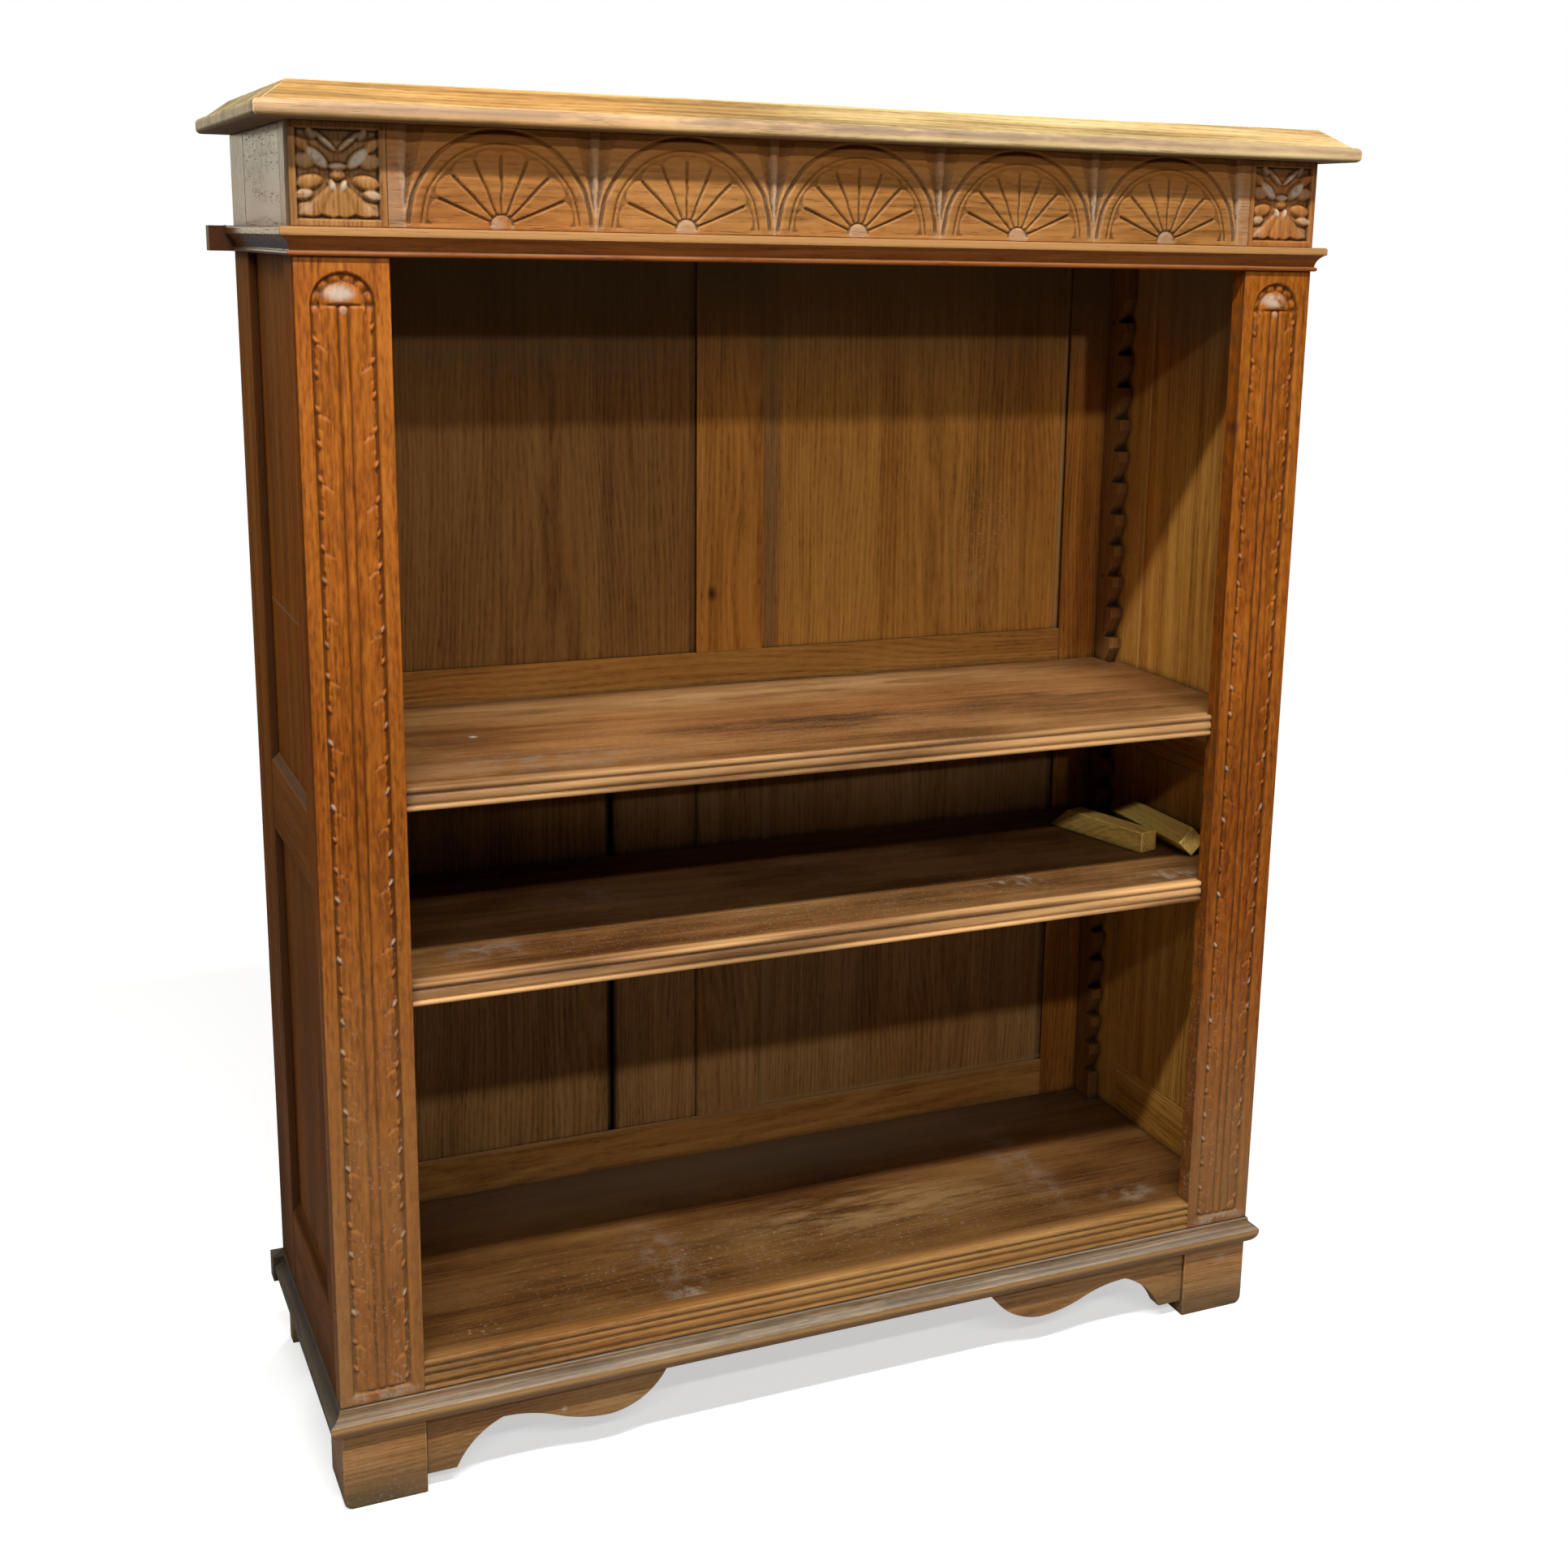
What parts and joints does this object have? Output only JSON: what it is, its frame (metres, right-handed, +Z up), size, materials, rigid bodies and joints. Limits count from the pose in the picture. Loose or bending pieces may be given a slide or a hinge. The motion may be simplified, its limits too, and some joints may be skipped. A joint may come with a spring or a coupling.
{
  "type": "open bookcase",
  "caption": "Open-fronted carved oak bookcase with panelled sides and back, pilasters, a lunette frieze, bracket feet and shelves that lift off bearers in notched racks.",
  "frame": {"origin": "on the floor under the middle of the overall box", "axes": "+Z up, -Y out of the open front, +X to the right of someone facing the front"},
  "size_m": [1.166, 0.399, 1.4065],
  "materials": {
    "case_oak": "waxed dark oak",
    "carved_oak": "waxed carved oak",
    "top_oak": "waxed oak, sun-bleached",
    "shelf_oak": "worn waxed oak",
    "back_oak": "thin stained oak",
    "inner_oak": "unpolished oak",
    "pale_wood": "bare pale hardwood",
    "steel": "dulled steel"
  },
  "bodies": {
    "case": {"apron_bracket_left": "case_oak", "apron_bracket_right": "case_oak", "back_bottom_rail": "back_oak", "back_middle_rail": "back_oak", "back_muntin_lower": "back_oak", "back_muntin_upper": "back_oak", "back_panel_lower_left": "back_oak", "back_panel_lower_right": "back_oak", "back_panel_upper_left": "back_oak", "back_panel_upper_right": "back_oak", "back_stile_left": "back_oak", "back_stile_right": "back_oak", "back_top_rail": "back_oak", "base_moulding_front": "case_oak", "base_moulding_left": "case_oak", "base_moulding_right": "case_oak", "base_rear_rail": "inner_oak", "bottom_board": "shelf_oak", "bottom_front_rail": "case_oak", "frieze_block_left": "carved_oak", "frieze_block_right": "carved_oak", "frieze_rail": "carved_oak", "front_foot_left": "case_oak", "front_foot_right": "case_oak", "front_rack_left": "inner_oak", "front_rack_right": "inner_oak", "glue_blocks": "inner_oak", "necking_front": "case_oak", "necking_left": "case_oak", "necking_right": "case_oak", "pilaster_left": "carved_oak", "pilaster_right": "carved_oak", "rear_foot_left": "case_oak", "rear_foot_right": "case_oak", "rear_rack_left": "inner_oak", "rear_rack_right": "inner_oak", "side_bottom_rail_left": "case_oak", "side_bottom_rail_right": "case_oak", "side_front_stile_left": "case_oak", "side_front_stile_right": "case_oak", "side_lower_panel_left": "case_oak", "side_lower_panel_right": "case_oak", "side_middle_rail_left": "case_oak", "side_middle_rail_right": "case_oak", "side_rear_stile_left": "case_oak", "side_rear_stile_right": "case_oak", "side_top_rail_left": "case_oak", "side_top_rail_right": "case_oak", "side_upper_panel_left": "case_oak", "side_upper_panel_right": "case_oak", "top_board": "top_oak", "wood_screws": "steel"},
    "shelf_upper": {"shelf_upper": "shelf_oak"},
    "shelf_middle": {"shelf_middle": "shelf_oak"},
    "bearer_upper_left": {"bearer_upper_left": "pale_wood"},
    "bearer_upper_right": {"bearer_upper_right": "pale_wood"},
    "bearer_middle_left": {"bearer_middle_left": "pale_wood"},
    "bearer_middle_right": {"bearer_middle_right": "pale_wood"},
    "loose_batten_flat": {"loose_batten_flat": "pale_wood"},
    "loose_batten_leaning": {"loose_batten_leaning": "pale_wood"}
  },
  "joints": [
    {"name": "upper_shelf_lift", "type": "slide", "parent": "case", "child": "shelf_upper", "axis": [0, 0, 1], "range_m": [0, 0.44]},
    {"name": "middle_shelf_lift", "type": "slide", "parent": "case", "child": "shelf_middle", "axis": [0, 0, 1], "range_m": [0, 0.05]},
    {"name": "upper_left_bearer_slide", "type": "slide", "parent": "case", "child": "bearer_upper_left", "axis": [1, 0, 0], "range_m": [0, 0.06]},
    {"name": "upper_right_bearer_slide", "type": "slide", "parent": "case", "child": "bearer_upper_right", "axis": [-1, 0, 0], "range_m": [0, 0.06]},
    {"name": "middle_left_bearer_slide", "type": "slide", "parent": "case", "child": "bearer_middle_left", "axis": [1, 0, 0], "range_m": [0, 0.06]},
    {"name": "middle_right_bearer_slide", "type": "slide", "parent": "case", "child": "bearer_middle_right", "axis": [-1, 0, 0], "range_m": [0, 0.06]},
    {"name": "flat_batten_lift", "type": "slide", "parent": "shelf_middle", "child": "loose_batten_flat", "axis": [0, 0, 1], "range_m": [0, 0.04]},
    {"name": "leaning_batten_lift", "type": "slide", "parent": "shelf_middle", "child": "loose_batten_leaning", "axis": [0, 0, 1], "range_m": [0, 0.04]}
  ]
}
